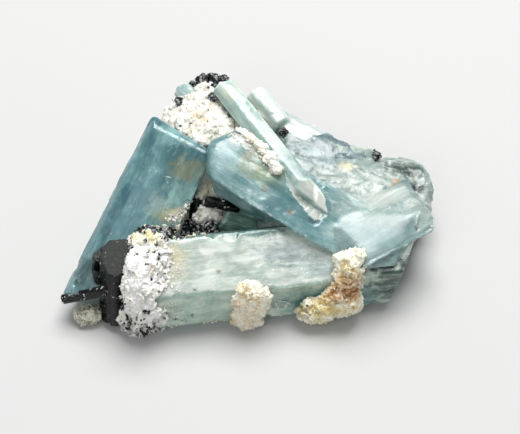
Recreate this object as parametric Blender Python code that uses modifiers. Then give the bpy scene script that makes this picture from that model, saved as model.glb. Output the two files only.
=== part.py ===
"""Aquamarine crystals with black tourmaline, grown on white feldspar. Metres, +Z up.

The sizes at the top are in millimetres, and each mesh is scaled to metres as it is made.
A crystal is a convex solid bounded by flat faces round an axis that runs from its foot to
its head. Crystals that grew through each other are joined in one solid. Every piece is cut
clear of the ones before it: first the clear crystals, then the black ones, then feldspar.
"""

import math
import random
from collections import namedtuple

import bmesh
import bpy
from mathutils import Matrix, Vector, noise

MM = 0.001
GAP = 0.3  # clear distance between neighbouring pieces
SEED = 11
BLOCK = 90.0  # the cube that a crystal is cut from
ON_PLANE = 1e-5  # how near a point is to count as lying on a cut
GROUND = (80.0, 80.0, 9.0)  # what is cut away below the specimen

# A crystal's sides are (turn, distance): the face's direction round the axis in degrees,
# where 0 is level and 90 is uppermost, and its distance from the axis. Its ends are
# (tilt, turn, reach): how far the face leans from square, towards which turn, and how far
# it lies beyond the head, or beyond the foot.
Form = namedtuple("Form", "foot head sides head_ends foot_ends")
SQUARE = ((0, 0, 0),)


def hexagon(turn, *distances):
    """Six sides from the turn of the first, repeating the distances given."""
    return tuple((turn + 60 * i, distances[i % len(distances)]) for i in range(6))


# A tourmaline has three broad sides, each a share of the radius away, with two narrow sides
# after each of them.
BROAD_SHARE = 0.86
NARROW_TURNS = (38, 82)


def three_sided(foot, head, radius, turn=0.0, head_ends=SQUARE):
    """A black tourmaline, with the turn of its first broad side."""
    sides = []
    for i in range(3):
        broad = turn + 120 * i
        sides.append((broad, radius * BROAD_SHARE))
        sides += [(broad + narrow, radius) for narrow in NARROW_TURNS]
    return Form(foot, head, tuple(sides), head_ends, SQUARE)


# The crystals that stand on their own.
LEFT = Form(
    foot=(-21.1, -14.4, 1.2),
    head=(-9.6, 5.6, 14.4),
    sides=((69, 2.6), (129, 5.0), (189, 4.0), (249, 2.6), (309, 4.3), (-21, 5.0)),
    head_ends=((7, -21, 0), (48, 69, 1.3), (40, 150, 3.6)),
    foot_ends=((28, -21, -1.8),),
)
FRONT = Form(
    foot=(-14.0, -14.0, 5.3),
    head=(20.7, -8.9, 5.3),
    sides=hexagon(6, 4.3, 3.46, 5.9),
    head_ends=((28, -29, 0.8), (35, 110, 4.2)),
    foot_ends=SQUARE,
)
INNER = Form(
    foot=(5.6, -4.7, 4.0),
    head=(-4.4, -3.0, 6.4),
    sides=hexagon(95, 1.7, 1.9),
    head_ends=((25, 90, 0),),
    foot_ends=SQUARE,
)
BUD = Form(
    foot=(-7.2, 12.2, 12.6),
    head=(-9.9, 17.2, 11.6),
    sides=hexagon(100, 1.3),
    head_ends=((15, 30, 0),),
    foot_ends=SQUARE,
)

# The crystals that grew through each other.
CENTRE = Form(
    foot=(13.4, -7.3, 7.6),
    head=(-5.2, 1.2, 14.8),
    sides=((106, 3.0), (218, 2.85), (50, 4.6), (350, 4.0), (280, 3.0)),
    head_ends=((30, 195, 1.0), (50, 75, 2.6), (35, 30, 2.1)),
    foot_ends=((15, 200, 1.2),),
)
UNDER = Form(
    foot=(6.0, -4.0, 6.5),
    head=(-5.0, -0.8, 12.4),
    sides=hexagon(125, 1.7),
    head_ends=((20, 200, 0),),
    foot_ends=SQUARE,
)
BLADE = Form(
    foot=(10.8, -8.9, 12.8),
    head=(-3.9, 13.2, 16.3),
    sides=hexagon(85, 1.5),
    head_ends=((8, 0, 0),),
    foot_ends=((74, 20, 0.9), (74, 190, 1.2), (60, 95, -2.1)),
)
SMALL_BLADE = Form(
    foot=(4.3, 10.0, 11.75),
    head=(0.6, 15.4, 12.7),
    sides=hexagon(100, 1.45, 1.3, 1.45),
    head_ends=((6, 20, 0),),
    foot_ends=SQUARE,
)
BACK = Form(
    foot=(16.5, 4.7, 6.7),
    head=(0.6, 13.2, 9.8),
    sides=hexagon(88, 2.8),
    head_ends=((10, 60, 0),),
    foot_ends=SQUARE,
)
SHOULDER = Form(
    foot=(3.0, 6.4, 7.6),
    head=(17.0, 5.2, 5.6),
    sides=((88, 3.9), (28, 4.2), (148, 4.2), (208, 4.0), (268, 3.0), (328, 4.0)),
    head_ends=SQUARE,
    foot_ends=((30, 90, 0.8),),
)
RIGHT = Form(
    foot=(4.6, -0.2, 8.2),
    head=(22.0, 0.6, 5.2),
    sides=((84, 3.6), (24, 6.6), (144, 5.6), (204, 6.0), (264, 3.0), (324, 5.0)),
    head_ends=((30, 60, 1.6), (30, 150, 2.0)),
    foot_ends=((40, 84, 1.5),),
)
RIM = Form(
    foot=(17.0, 3.4, 5.6),
    head=(24.8, 3.6, 4.9),
    sides=((75, 3.6), (38, 5.2), (5, 6.0), (115, 3.8), (150, 4.6), (200, 4.6), (262, 3.0), (320, 4.6)),
    head_ends=((10, 10, 1.3), (38, 50, 2.7), (35, 110, 1.9), (40, 160, 1.9), (40, 0, 3.5)),
    foot_ends=((30, 80, 1),),
)
CORNER = Form(
    foot=(11.6, -10.4, 6.9),
    head=(23.6, -1.9, 6.0),
    sides=((79, 4.4), (25, 6.3), (-37, 2.5), (115, 4.5), (190, 4.4), (250, 2.6)),
    head_ends=((12, 10, 0.2), (35, 75, 1.8), (44, -7, 1.9)),
    foot_ends=((55, 80, 2.6), (15, 0, 0.6)),
)
OVERGROWTH = Form(
    foot=(12.2, -10.15, 5.3),
    head=(20.7, -8.9, 5.3),
    sides=((66, 4.2), (20, 4.3), (110, 6.3), (180, 5.0), (250, 2.0), (-30, 4.0)),
    head_ends=((49, 10, 2.0), (28, -29, 0.3)),
    foot_ends=((12, 20, 0.3),),
)

# Growth ledges: shallow raised bands along a crystal's faces.
LEDGE_HEIGHTS = (0.12, 0.2, 0.28)
LEDGE_MIDDLE = (-1.6, 1.6)
LEDGE_HALF_WIDTH = (0.3, 0.8)
LEDGE_START = (0.05, 0.45)  # share of the crystal's length
LEDGE_END = (0.6, 0.96)
LEDGE_SKEWS = (0.2, 0.3)  # how far its two ends lean from square
LEDGE_INSET = 0.03  # how far a band's other faces stay inside the crystal

# What is clear: the crystals joined in each piece, with the number of ledges on each.
CLEAR = {
    "aquamarine_front": ((FRONT, 7),),
    "aquamarine_left": ((LEFT, 6),),
    "aquamarine_cluster": (
        (CENTRE, 5), (UNDER, 0), (BLADE, 1), (SMALL_BLADE, 1),
        (BACK, 4), (SHOULDER, 0), (RIGHT, 3), (RIM, 0), (CORNER, 2), (OVERGROWTH, 0),
    ),
    "aquamarine_bud": ((BUD, 0),),
    "aquamarine_inner": ((INNER, 0),),
}

# What is black: prisms, clusters of small prisms, and single grains.
PRISMS = {
    "schorl_stub": ((-18.7, -15.6, 0.2), (-18.2, -12.1, 9.4), 2.2, 20, ((38, 90, 0),)),
    "schorl_side": ((-20.8, -13.4, 3.6), (-20.5, -10.9, 8.2), 1.2, 60, ((25, 90, 0),)),
    "schorl_rod": ((-25.8, -14.9, 3.5), (-18.6, -15.2, 6.2), 0.66, 10),
    "schorl_bar": ((-6.4, -2.0, 9.2), (-1.6, -2.5, 8.4), 0.7, 30),
    "schorl_pocket_stub": ((-7.9, -3.4, 6.0), (-7.7, -1.6, 8.8), 0.8, 0),
}
# Middle, spread, number of prisms, radius of one, seed.
CLUSTERS = {
    "schorl_top_cluster": ((-6.2, 17.0, 12.4), (2.3, 1.5, 1.3), 9, 0.85, 5),
    "schorl_seam_cluster": ((-11.6, -8.3, 9.3), (2.8, 0.9, 0.5), 10, 0.7, 14),
    "schorl_pocket_cluster": ((-6.2, -5.3, 6.6), (2.9, 0.8, 0.9), 11, 0.75, 8),
}
CLUSTER_SIZES = (0.8, 1.15)  # smallest and largest prism, as a share of that radius
SHORT_PRISM = 0.9  # half the length of a small prism, as a share of its radius
# Middle and radius.
GRAINS = {
    "schorl_grain_left": ((-10.4, 12.6, 14.0), 0.55),
    "schorl_grain_top": ((-5.5, 12.9, 14.3), 0.7),
    "schorl_grain_middle": ((-6.9, 10.6, 14.6), 0.45),
    "schorl_grain_blade": ((4.5, 7.0, 13.6), 0.6),
    "schorl_grain_back": ((17.8, 6.3, 9.3), 0.7),
}

# What is white: rounded lumps (middle, radii) melted together, and their grain (voxel
# size, height of the roughness, its frequency per millimetre).
COARSE = (1.4, 1.1, 0.5)
FINE = (0.76, 0.9, 0.9)
THIN = (0.42, 0.5, 1.3)
BALL = 5  # subdivisions of the ball that a lump starts from
LAYERS = 3  # layers of noise in the roughness
PITS = (0.4, 1.7)  # depth and frequency of the pits, as shares of the roughness's own
FELDSPAR = {
    "feldspar_matrix": (
        COARSE,
        ((-6.3, 8.2, 9.5), (5.6, 5.4, 5.6)),
        ((-9.4, 11.6, 8.0), (3.5, 4.6, 5.8)),
        ((-6.6, 13.0, 9.4), (4.4, 4.4, 5.0)),
        ((-5.8, 15.4, 7.2), (5.0, 4.0, 6.0)),
        ((-2.5, 7.0, 3.6), (8.5, 8.5, 4.6)),
        ((6.0, 4.5, 2.6), (6.5, 6.0, 4.0)),
        ((-6.6, -0.8, 4.4), (2.8, 4.2, 4.6)),
        ((-3.4, -3.0, 3.4), (2.2, 2.4, 3.0)),
    ),
    "feldspar_left": (
        FINE,
        ((-14.6, -14.4, 5.4), (2.5, 4.5, 6.0)),
        ((-14.2, -10.4, 7.8), (2.5, 2.5, 3.4)),
        ((-13.5, -16.6, 4.0), (2.2, 1.8, 4.4)),
        ((-15.4, -16.6, 1.6), (2.8, 1.7, 2.2)),
        ((-12.0, -8.7, 8.3), (2.8, 1.5, 1.5)),
        ((-9.6, -7.6, 8.0), (2.0, 1.1, 1.1)),
    ),
    "feldspar_crest": (
        THIN,
        ((-1.6, 3.0, 17.2), (1.1, 0.7, 0.7)),
        ((-0.2, 2.0, 16.9), (1.0, 0.6, 0.7)),
        ((1.3, 0.9, 16.5), (1.0, 0.7, 0.7)),
        ((2.6, -0.4, 16.0), (0.9, 0.6, 0.7)),
        ((3.4, -1.6, 15.5), (0.7, 0.6, 0.6)),
    ),
    "feldspar_chip": (FINE, ((-22.5, -15.7, 0.9), (1.8, 1.1, 0.9))),
}
CRUSTS = {
    "crust_front": (
        FINE,
        ((-0.1, -16.1, 5.2), (2.4, 1.4, 3.0)),
        ((-0.5, -16.5, 2.4), (2.0, 1.1, 2.6)),
    ),
    "crust_right": (
        FINE,
        ((14.4, -12.9, 9.2), (2.7, 1.5, 1.2)),
        ((13.6, -13.8, 6.8), (2.0, 1.4, 2.2)),
        ((12.4, -15.2, 3.8), (2.7, 1.5, 2.6)),
        ((9.0, -15.8, 2.3), (2.6, 1.3, 1.9)),
    ),
}


def directions(form):
    """The form's foot and head, and the unit vectors along it, to its turn 0 and turn 90."""
    foot = Vector(form.foot)
    head = Vector(form.head)
    along = (head - foot).normalized()
    side = along.cross(Vector((0, 0, 1))).normalized()
    return foot, head, along, side, side.cross(along)


def faces_of(form, grow=0.0):
    """Every face of the form as (point, outward normal), moved outwards by grow."""
    foot, head, along, side, up = directions(form)

    def towards(turn):
        return side * math.cos(math.radians(turn)) + up * math.sin(math.radians(turn))

    faces = []
    for turn, distance in form.sides:
        faces.append((foot + towards(turn) * (distance + grow), towards(turn)))
    for end, outward, cuts in ((head, along, form.head_ends), (foot, -along, form.foot_ends)):
        for tilt, turn, reach in cuts:
            lean = math.radians(tilt)
            normal = outward * math.cos(lean) + towards(turn) * math.sin(lean)
            faces.append((end + normal * (reach + grow), normal))
    return faces


def ledges(form, count, rng):
    """The faces of each raised band: it lies on one side of the form and ends short."""
    foot, head, along, side, up = directions(form)
    length = (head - foot).length
    for _ in range(count):
        chosen = rng.randrange(len(form.sides))
        turn = math.radians(form.sides[chosen][0])
        across = up * math.cos(turn) - side * math.sin(turn)
        middle = rng.uniform(*LEDGE_MIDDLE)
        half = rng.uniform(*LEDGE_HALF_WIDTH)
        start = foot + along * rng.uniform(*LEDGE_START) * length
        end = foot + along * rng.uniform(*LEDGE_END) * length
        band = faces_of(form, -LEDGE_INSET)
        point, normal = band[chosen]
        band[chosen] = (point + normal * (rng.choice(LEDGE_HEIGHTS) + LEDGE_INSET), normal)
        band.append((foot + across * (middle + half), across))
        band.append((foot + across * (middle - half), -across))
        band.append((start, (across * LEDGE_SKEWS[0] - along).normalized()))
        band.append((end, (across * LEDGE_SKEWS[1] + along).normalized()))
        yield band


def collection(name):
    made = bpy.data.collections.new(name)
    bpy.context.scene.collection.children.link(made)
    return made


def material(name, colour, roughness, transmission=0.0):
    made = bpy.data.materials.new(name)
    made.use_nodes = True
    made.diffuse_color = (*colour, 1)
    shader = made.node_tree.nodes["Principled BSDF"]
    shader.inputs["Base Color"].default_value = (*colour, 1)
    shader.inputs["Roughness"].default_value = roughness
    shader.inputs["Metallic"].default_value = 0.0
    shader.inputs["Transmission Weight"].default_value = transmission
    return made


def to_object(name, bm, home, look=None):
    """The mesh as an object in metres, in the home collection."""
    bmesh.ops.scale(bm, vec=(MM, MM, MM), verts=bm.verts[:])
    mesh = bpy.data.meshes.new(name)
    bm.to_mesh(mesh)
    bm.free()
    obj = bpy.data.objects.new(name, mesh)
    if look:
        mesh.materials.append(look)
    home.objects.link(obj)
    return obj


def block(name, faces, home, look=None):
    """A cube cut back to every face in turn and closed again: one convex solid."""
    middle = sum((point for point, _ in faces), Vector()) / len(faces)
    bm = bmesh.new()
    bmesh.ops.create_cube(bm, size=BLOCK, matrix=Matrix.Translation(middle))
    for point, normal in faces:
        parts = bm.verts[:] + bm.edges[:] + bm.faces[:]
        bmesh.ops.bisect_plane(
            bm, geom=parts, dist=ON_PLANE, plane_co=point, plane_no=normal, clear_outer=True
        )
        bmesh.ops.holes_fill(bm, edges=[edge for edge in bm.edges if edge.is_boundary])
    bmesh.ops.recalc_face_normals(bm, faces=bm.faces[:])
    return to_object(name, bm, home, look)


def body_of(vert):
    """The vertices that can be reached from this one."""
    body = {vert}
    reached = [vert]
    while reached:
        vert = reached.pop()
        new = {edge.other_vert(vert) for edge in vert.link_edges} - body
        body |= new
        reached += new
    return body


def apply_modifiers(obj):
    """Gives the object its modified mesh, less any crumbs cut loose from its main body."""
    graph = bpy.context.evaluated_depsgraph_get()
    mesh = bpy.data.meshes.new_from_object(obj.evaluated_get(graph))
    obj.modifiers.clear()
    obj.data = mesh
    bm = bmesh.new()
    bm.from_mesh(mesh)
    bodies = []
    found = set()
    for vert in bm.verts:
        if vert not in found:
            bodies.append(body_of(vert))
            found |= bodies[-1]
    main_body = max(bodies, key=len)
    crumbs = [vert for vert in bm.verts if vert not in main_body]
    bmesh.ops.delete(bm, geom=crumbs, context="VERTS")
    bm.to_mesh(mesh)
    bm.free()


def boolean(obj, operation, others, solver="EXACT"):
    for other in others:
        step = obj.modifiers.new(operation.title(), "BOOLEAN")
        step.operation = operation
        step.solver = solver
        step.object = other
    apply_modifiers(obj)


def joined(name, bodies, home, look=None):
    """One solid from overlapping convex bodies, each given as its faces."""
    made = [block(f"{name}_{i}", faces, home, look) for i, faces in enumerate(bodies)]
    whole = made.pop(0)
    boolean(whole, "UNION", made)
    for obj in made:
        bpy.data.objects.remove(obj)
    whole.name = name
    return whole


def short_prism(middle, radius, rng):
    """A small black prism about as long as it is wide, lying at any angle."""
    lean = Vector([rng.uniform(-1, 1) for _ in range(3)]).normalized() * radius * SHORT_PRISM
    middle = Vector(middle)
    return three_sided(middle - lean, middle + lean, radius, rng.uniform(0, 120))


def cluster(middle, spread, count, radius, seed):
    rng = random.Random(seed)
    prisms = []
    for _ in range(count):
        place = [m + s * rng.uniform(-1, 1) for m, s in zip(middle, spread)]
        prisms.append(short_prism(place, radius * rng.uniform(*CLUSTER_SIZES), rng))
    return prisms


def lumps(name, grain, blobs, home, look):
    """Rounded lumps with a granular surface, melted into one body."""
    voxel, height, frequency = grain
    pit_depth, pit_frequency = PITS
    bm = bmesh.new()
    for middle, radii in blobs:
        place = Matrix.Translation(middle) @ Matrix.Diagonal((*radii, 1))
        bmesh.ops.create_icosphere(bm, subdivisions=BALL, radius=1, matrix=place)
    bm.normal_update()
    for vert in bm.verts:
        place = vert.co * frequency
        rise = noise.turbulence(place, LAYERS, True)
        rise -= noise.cell(place * pit_frequency) * pit_depth
        vert.co += vert.normal * rise * height
    obj = to_object(name, bm, home, look)
    melt = obj.modifiers.new("Melt", "REMESH")
    melt.mode = "VOXEL"
    melt.voxel_size = voxel * MM
    apply_modifiers(obj)
    return obj


def ground_cutter(home):
    """A box whose top is the level that the specimen rests on."""
    width, depth, height = GROUND
    place = Matrix.Translation((0, 0, -height / 2)) @ Matrix.Diagonal((width, depth, height, 1))
    bm = bmesh.new()
    bmesh.ops.create_cube(bm, size=1, matrix=place)
    return to_object("ground", bm, home)


def add_crystals(name, forms, bands, look, specimen, cutters):
    """A solid of joined crystals and their ledges, cut clear of what is already there.

    Its own shape, larger all round by the gap, is then kept to cut what comes after it.
    """
    rng = random.Random(name)
    bodies = [faces_of(form) for form in forms]
    for form, count in zip(forms, bands):
        bodies += ledges(form, count, rng)
    boolean(joined(name, bodies, specimen, look), "DIFFERENCE", cutters.objects[:])
    joined(f"{name}_room", [faces_of(form, GAP) for form in forms], cutters)


def add_feldspar(name, grain, blobs, look, specimen, cutters):
    """A granular lump, cut clear of every crystal that stands in it."""
    lump = lumps(name, grain, blobs, specimen, look)
    boolean(lump, "DIFFERENCE", cutters.objects[:], "MANIFOLD")


def main():
    for obj in list(bpy.data.objects):
        bpy.data.objects.remove(obj)
    specimen = collection("aquamarine_crystal")
    cutters = collection("cutters")
    ground_cutter(cutters)

    aquamarine = material("aquamarine", (0.40, 0.66, 0.66), 0.12, 0.6)
    for name, crystals in CLEAR.items():
        forms, bands = zip(*crystals)
        add_crystals(name, forms, bands, aquamarine, specimen, cutters)

    schorl = material("schorl", (0.012, 0.012, 0.014), 0.25)
    black = {name: [three_sided(*sizes)] for name, sizes in PRISMS.items()}
    black.update({name: cluster(*sizes) for name, sizes in CLUSTERS.items()})
    rng = random.Random(SEED)
    black.update({name: [short_prism(*sizes, rng)] for name, sizes in GRAINS.items()})
    for name, forms in black.items():
        add_crystals(name, forms, [0] * len(forms), schorl, specimen, cutters)

    white = material("feldspar", (0.86, 0.85, 0.80), 0.75)
    for name, (grain, *blobs) in FELDSPAR.items():
        add_feldspar(name, grain, blobs, white, specimen, cutters)
    stained = material("stained_feldspar", (0.80, 0.70, 0.52), 0.8)
    for name, (grain, *blobs) in CRUSTS.items():
        add_feldspar(name, grain, blobs, stained, specimen, cutters)

    for obj in cutters.objects:
        obj.hide_render = True
        obj.display_type = "WIRE"


main()
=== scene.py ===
"""Aquamarine crystals with black tourmaline on white feldspar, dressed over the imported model."""

import math
from collections import namedtuple

import bmesh
import bpy
import numpy as np
from mathutils import Euler, Matrix, Vector, noise


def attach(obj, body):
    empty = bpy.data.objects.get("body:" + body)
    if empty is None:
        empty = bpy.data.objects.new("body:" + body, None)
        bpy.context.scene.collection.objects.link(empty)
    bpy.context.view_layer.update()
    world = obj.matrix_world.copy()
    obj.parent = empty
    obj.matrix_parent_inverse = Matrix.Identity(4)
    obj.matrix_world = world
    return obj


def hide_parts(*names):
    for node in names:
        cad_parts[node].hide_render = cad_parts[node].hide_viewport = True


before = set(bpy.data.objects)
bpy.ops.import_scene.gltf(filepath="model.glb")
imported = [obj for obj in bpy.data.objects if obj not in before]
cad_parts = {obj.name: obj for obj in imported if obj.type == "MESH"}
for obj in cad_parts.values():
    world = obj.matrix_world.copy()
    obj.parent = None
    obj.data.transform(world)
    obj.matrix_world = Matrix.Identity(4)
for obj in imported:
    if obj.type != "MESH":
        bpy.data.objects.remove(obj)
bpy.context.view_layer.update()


# The camera looks down on the specimen from the front at fifty degrees, through a long lens
# that fills the frame with it.
AIM = Vector((0.00125, -0.004, 0.008))
ELEVATION = math.radians(50)
DISTANCE = 0.21
camera = bpy.data.objects.new("camera", bpy.data.cameras.new("camera"))
camera.data.lens = 103.85
camera.data.clip_start = 0.01
camera.location = AIM + Vector((0, -math.cos(ELEVATION), math.sin(ELEVATION))) * DISTANCE
camera.rotation_euler = Euler((math.pi / 2 - ELEVATION, 0, 0))
bpy.context.scene.collection.objects.link(camera)
bpy.context.scene.camera = camera
bpy.context.scene.view_settings.view_transform = "Standard"


# Soft studio light: a wide panel overhead and a little behind, a weak one at the front left,
# and pale surroundings.
def panel(name, place, width, watts):
    """A square light of this width, turned to face the specimen."""
    lamp = bpy.data.objects.new(name, bpy.data.lights.new(name, "AREA"))
    lamp.data.shape = "SQUARE"
    lamp.data.size = width
    lamp.data.energy = watts
    lamp.location = place
    lamp.rotation_euler = (AIM - Vector(place)).to_track_quat("-Z", "Y").to_euler()
    bpy.context.scene.collection.objects.link(lamp)


panel("overhead", (0.06, 0.22, 0.56), 0.42, 5.8)
panel("front_fill", (-0.2, -0.48, 0.45), 0.4, 1.1)
surroundings = bpy.data.worlds.new("surroundings")
surroundings.use_nodes = True
background = surroundings.node_tree.nodes["Background"]
background.inputs["Color"].default_value = (0.92, 0.96, 1, 1)
background.inputs["Strength"].default_value = 0.32
bpy.context.scene.world = surroundings


# A plain pale floor under the specimen, a hair below it so that no face of the two meets,
# and wide enough to fill every view.
FLOOR_REACH, FLOOR_DROP = 2, 0.0002
floor_mesh = bpy.data.meshes.new("floor")
ways = [(-1, -1), (1, -1), (1, 1), (-1, 1)]
floor_corners = [(x * FLOOR_REACH, y * FLOOR_REACH, -FLOOR_DROP) for x, y in ways]
floor_mesh.from_pydata(floor_corners, [], [(0, 1, 2, 3)])
floor = bpy.data.objects.new("floor", floor_mesh)
floor_look = bpy.data.materials.new("floor")
floor_look.use_nodes = True
floor_shader = floor_look.node_tree.nodes["Principled BSDF"]
floor_shader.inputs["Base Color"].default_value = (0.5, 0.5, 0.49, 1)
floor_shader.inputs["Roughness"].default_value = 0.9
floor_mesh.materials.append(floor_look)
bpy.context.scene.collection.objects.link(floor)


# The left crystal: a thick tabular prism of cloudy blue-green beryl that leans back against
# the feldspar. Its faces carry fine striations along its length, and its edges are chipped
# and paler, partly from bruising and partly as painted highlight.
class Socket:
    """A value inside a finish. Sums and products of these add Math nodes."""

    def __init__(self, tree, link):
        self.tree = tree
        self.link = link

    def node(self, kind, settings, values, output=0):
        """One output of a new node, after its settings and then its sockets are given."""
        made = self.tree.nodes.new(kind)
        for name, value in settings.items():
            setattr(made, name, value)
        for name, value in values.items():
            if isinstance(value, Socket):
                self.tree.links.new(value.link, made.inputs[name])
            else:
                made.inputs[name].default_value = value
        return Socket(self.tree, made.outputs[output]) if made.outputs else None

    def maths(self, operation, first, second):
        return self.node("ShaderNodeMath", {"operation": operation}, {0: first, 1: second})

    def vector(self, operation, first, second, output=0):
        settings = {"operation": operation}
        return self.node("ShaderNodeVectorMath", settings, {0: first, 1: second}, output)

    def __add__(self, other):
        return self.maths("ADD", self, other)

    def __sub__(self, other):
        return self.maths("SUBTRACT", self, other)

    def __rsub__(self, other):
        return self.maths("SUBTRACT", other, self)

    def __mul__(self, other):
        return self.maths("MULTIPLY", self, other)

    __radd__ = __add__
    __rmul__ = __mul__

    def ramp(self, low, high, start=0.0, end=1.0):
        """A smooth step from start to end as this value goes from low to high."""
        settings = {"interpolation_type": "SMOOTHSTEP"}
        values = {0: self, 1: low, 2: high, 3: start, 4: end}
        return self.node("ShaderNodeMapRange", settings, values)

    def line(self, middle, width):
        """One where this value is at the middle, falling to nothing a width away."""
        away = self - middle
        return (away * away).ramp(0.0, width * width, 1.0, 0.0)

    def mottle(self, scale, detail=4.0, roughness=0.55, distortion=0.0):
        """Noise over this position, centred on one half."""
        values = {"Vector": self, "Scale": scale, "Detail": detail}
        values.update({"Roughness": roughness, "Distortion": distortion})
        return self.node("ShaderNodeTexNoise", {}, values)

    def cells(self, scale, feature="F1", output="Distance"):
        """What this position finds in a foam of small cells."""
        values = {"Vector": self, "Scale": scale}
        return self.node("ShaderNodeTexVoronoi", {"feature": feature}, values, output)

    def lottery(self, scale):
        """One number for each small cell of space, drawn between nothing and one."""
        colour = {"Color": self.cells(scale, output="Color")}
        return self.node("ShaderNodeSeparateColor", {}, colour, "Red")

    def facets(self, scale):
        """Heights that break a surface into small flat faces, each leaning its own way."""
        offset = self.vector("SUBTRACT", self, self.cells(scale, output="Position"))
        lean = self.vector("SUBTRACT", self.cells(scale, output="Color"), (0.5, 0.5, 0.5))
        return self.vector("DOT_PRODUCT", offset, lean, "Value") * scale

    def dots(self, scale, size, share):
        """Small round spots, in this share of the cells."""
        spots = self.cells(scale).ramp(size * 0.6, size, 1.0, 0.0)
        return spots * self.lottery(scale).ramp(1 - share, 1.001 - share)

    def patch(self, middle, radii, ragged=0.0):
        """One inside a soft ellipsoid round the middle, and nothing outside it."""
        away = self.vector("DIVIDE", self.vector("SUBTRACT", self, middle), radii)
        far = self.vector("LENGTH", away, (0, 0, 0), "Value")
        if ragged:
            far = far + (self.mottle(0.7, 7, 0.7, 0.6) - 0.5) * (ragged * 2)
        return far.ramp(0.45, 1.15, 1.0, 0.0)

    def blend(self, first, second):
        """The first colour where this value is nothing, and the second where it is one."""
        return self.node("ShaderNodeMix", {"data_type": "RGBA"}, {0: self, 6: first, 7: second}, 2)


def tone(red, green, blue):
    """A colour as a screen names it, in the linear numbers that a shader takes."""
    screen_gamma = 2.2
    return (*((part / 255) ** screen_gamma for part in (red, green, blue)), 1)


def finish(name):
    """A new material, and the position on its piece in millimetres."""
    made = bpy.data.materials.new(name)
    made.use_nodes = True
    made.node_tree.nodes.clear()
    start = Socket(made.node_tree, None)
    place = start.node("ShaderNodeTexCoord", {}, {}, "Object")
    scale = {"operation": "SCALE"}
    return made, place.node("ShaderNodeVectorMath", scale, {0: place, "Scale": 1000.0})


def axes_of(foot, head):
    """The unit vectors along a crystal, level across it, and up from it, as columns."""
    along = (Vector(head) - Vector(foot)).normalized()
    side = along.cross(Vector((0, 0, 1))).normalized()
    return Matrix((along, side, side.cross(along))).transposed()


def along_of(foot, head):
    """The unit vector from a crystal's foot to its head, as an array."""
    return np.array(axes_of(foot, head))[:, 0]


def lengthwise(place, foot, head, stretch):
    """The position along, across and up from the crystal, shortened along it."""
    values = {"Vector": place, "Location": foot, "Scale": (stretch, 1, 1)}
    values["Rotation"] = axes_of(foot, head).to_euler()
    return place.node("ShaderNodeMapping", {"vector_type": "TEXTURE"}, values)


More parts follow.
